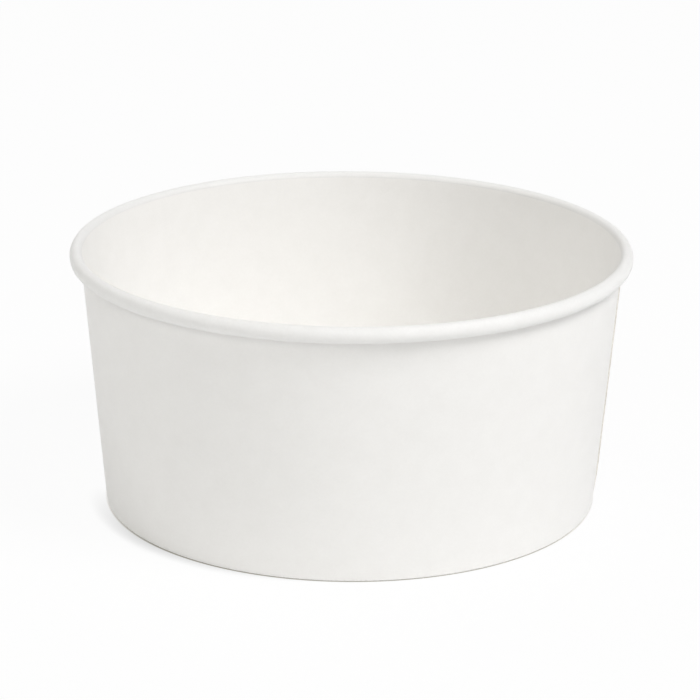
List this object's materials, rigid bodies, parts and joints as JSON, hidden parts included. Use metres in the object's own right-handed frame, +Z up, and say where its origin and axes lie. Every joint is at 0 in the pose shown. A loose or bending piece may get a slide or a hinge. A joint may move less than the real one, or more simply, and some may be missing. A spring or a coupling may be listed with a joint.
{
  "type": "paper salad bowl",
  "caption": "Round paperboard salad bowl with an outward-rolled rim, a lapped side seam and a recessed base disc gripped by the folded foot.",
  "frame": {"origin": "on the bowl's axis, in the plane of the ring that it stands on", "axes": "+Z up along the bowl's axis, towards the open rim; -Y towards the picture's camera; the side seam faces +X"},
  "size_m": [0.165, 0.165, 0.077],
  "materials": {
    "side_board": "satin coated paperboard",
    "base_board": "satin coated paperboard"
  },
  "bodies": {
    "root": {"side_wall": "side_board", "base_disc": "base_board"}
  },
  "joints": []
}
